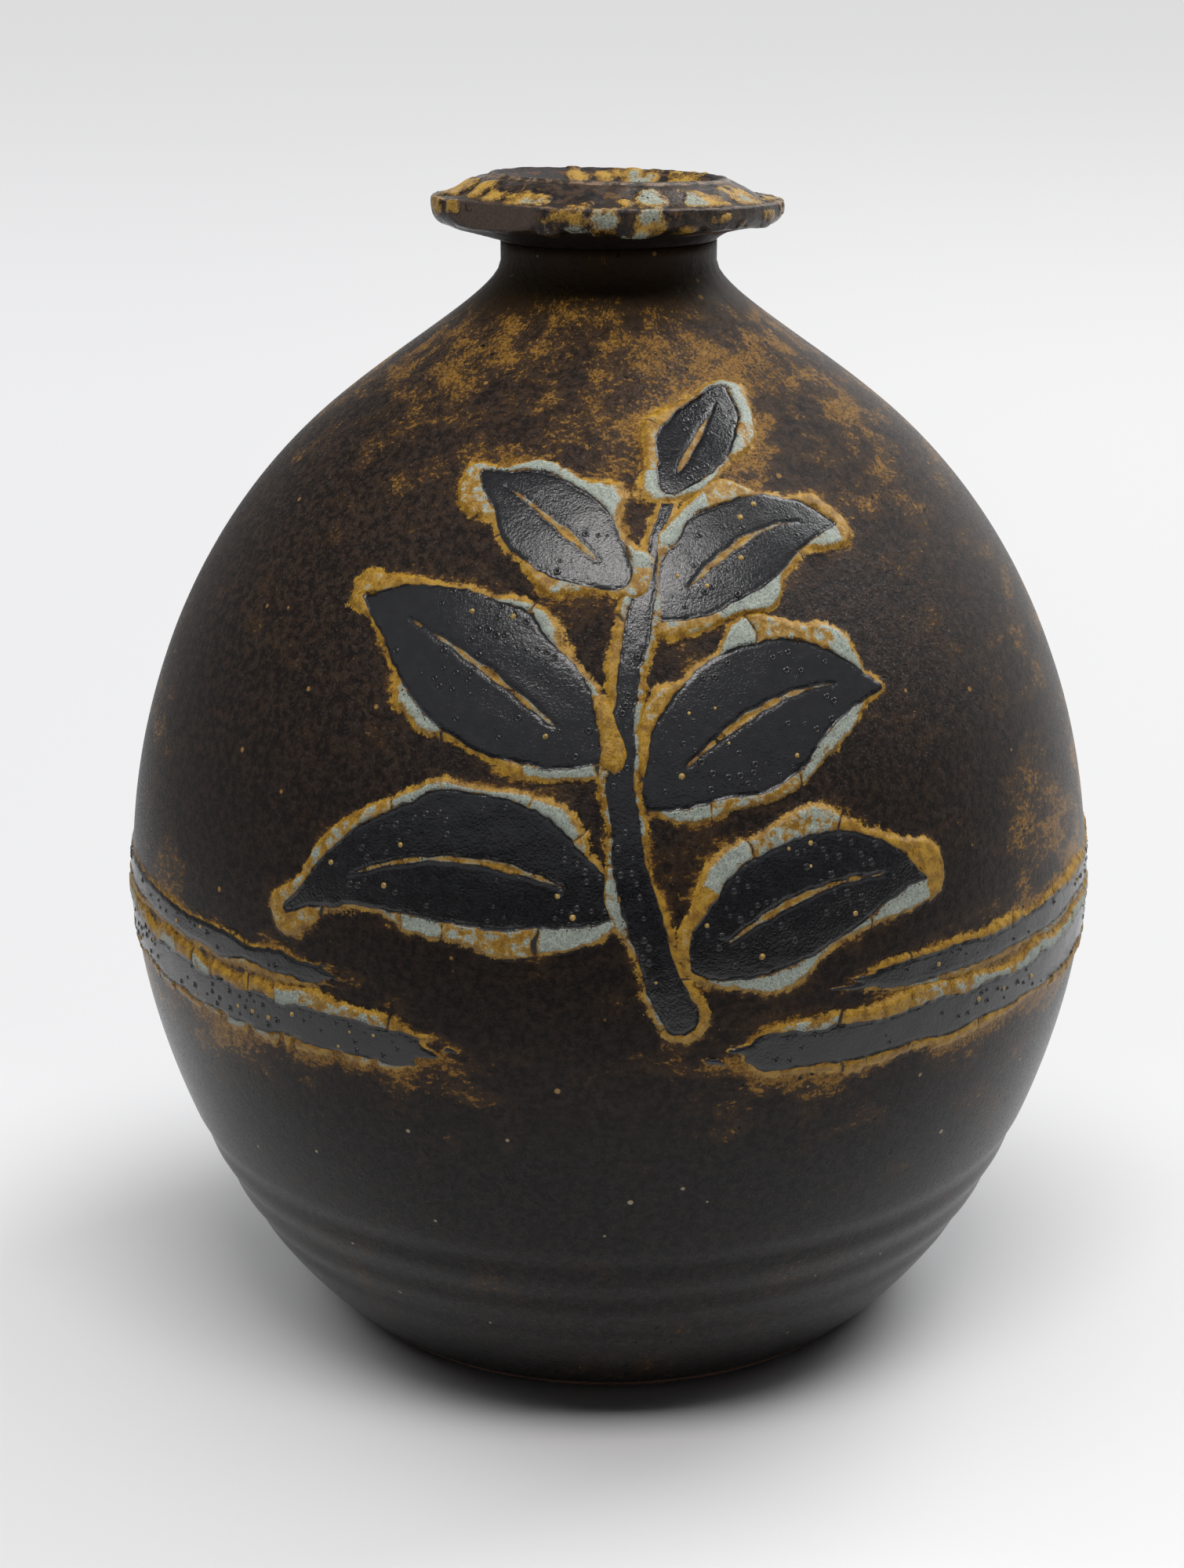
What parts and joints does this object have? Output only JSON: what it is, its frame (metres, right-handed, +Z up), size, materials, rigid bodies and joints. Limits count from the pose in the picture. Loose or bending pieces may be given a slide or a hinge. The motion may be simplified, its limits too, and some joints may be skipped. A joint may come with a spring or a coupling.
{
  "type": "ovoid vase",
  "caption": "Egg-shaped stoneware bottle vase with a short waisted neck, a wide collar lip, brushed bands round the belly and a raised leaf sprig in dark glaze; holds water and stems.",
  "frame": {"origin": "on the floor, at the centre of the foot, on the vase's axis", "axes": "+Z up along the vase's axis; the front, with the brushed sprig, faces -Y; +X is to the right seen from the front"},
  "size_m": [0.2148, 0.2138, 0.2506],
  "materials": {
    "bare_clay": "bare fired stoneware, red-brown and dull, showing only at the foot and under the base",
    "iron_glaze": "satin dark brown iron glaze, mottled with ochre at the shoulder and below the bands",
    "lip_dip_glaze": "thick ochre and blue-grey glaze in patches over dark brown on the collar lip",
    "brush_glaze": "thick glossy blue-black brushed glaze with pinholes and an ochre and blue-grey crawled edge"
  },
  "bodies": {
    "root": {"lower_body": "bare_clay", "upper_body": "bare_clay", "neck_ring": "bare_clay", "collar_lip": "bare_clay", "liner_glaze": "iron_glaze", "body_glaze": "iron_glaze", "lip_glaze": "lip_dip_glaze", "upper_brushed_band": "brush_glaze", "lower_brushed_band": "brush_glaze", "brushed_stem": "brush_glaze", "brushed_leaf_lower_left": "brush_glaze", "brushed_leaf_lower_right": "brush_glaze", "brushed_leaf_middle_left": "brush_glaze", "brushed_leaf_middle_right": "brush_glaze", "brushed_leaf_upper_left": "brush_glaze", "brushed_leaf_upper_right": "brush_glaze", "brushed_leaf_top": "brush_glaze"}
  },
  "joints": []
}
